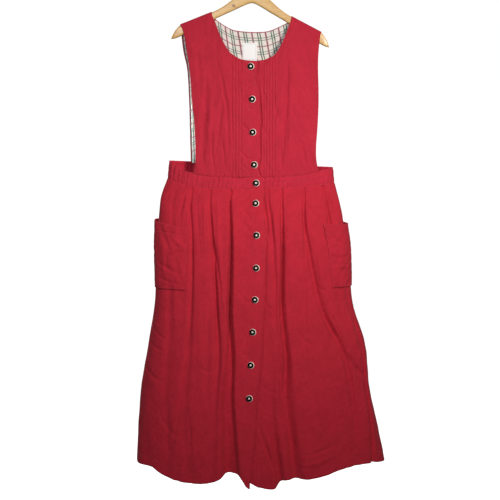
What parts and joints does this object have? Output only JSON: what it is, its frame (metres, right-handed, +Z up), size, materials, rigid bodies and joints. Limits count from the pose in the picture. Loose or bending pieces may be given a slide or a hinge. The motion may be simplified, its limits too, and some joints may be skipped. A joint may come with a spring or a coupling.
{
  "type": "sleeveless button-front dirndl dress on a wooden coat hanger",
  "caption": "Red sleeveless pinafore dirndl, buttoned down the front, with gathered waistband, patch pockets and plaid lining, hanging on a wooden coat hanger.",
  "frame": {"origin": "seat of the hanger's hook: the inside top of its loop, where it lies on a rail", "axes": "+Z up, -Y out of the front of the dress, +X to the viewer's right, which is the wearer's left"},
  "size_m": [0.687, 0.172, 1.3918],
  "materials": {
    "dress_cloth": "red cotton, soft sheen",
    "plaid_lining": "plaid cotton lining",
    "label_tape": "woven white, plain",
    "beech": "clear lacquer, satin",
    "hook_steel": "bright",
    "horn": "polished horn look with a metal centre"
  },
  "bodies": {
    "root": {"hanger_body": "beech", "hanger_hook": "hook_steel", "front_bodice_right": "dress_cloth", "front_bodice_left": "dress_cloth", "back_bodice": "dress_cloth", "back_bodice_lining": "plaid_lining", "label": "label_tape", "waistband_right": "dress_cloth", "waistband_left": "dress_cloth", "waistband_back": "dress_cloth", "skirt_front_right": "dress_cloth", "skirt_front_left": "dress_cloth", "skirt_back": "dress_cloth", "pocket_right": "dress_cloth", "pocket_left": "dress_cloth", "button_1": "horn", "button_2": "horn", "button_3": "horn", "button_4": "horn", "button_5": "horn", "button_6": "horn", "button_7": "horn", "button_8": "horn", "button_9": "horn", "button_10": "horn", "button_11": "horn", "button_12": "horn"}
  },
  "joints": []
}
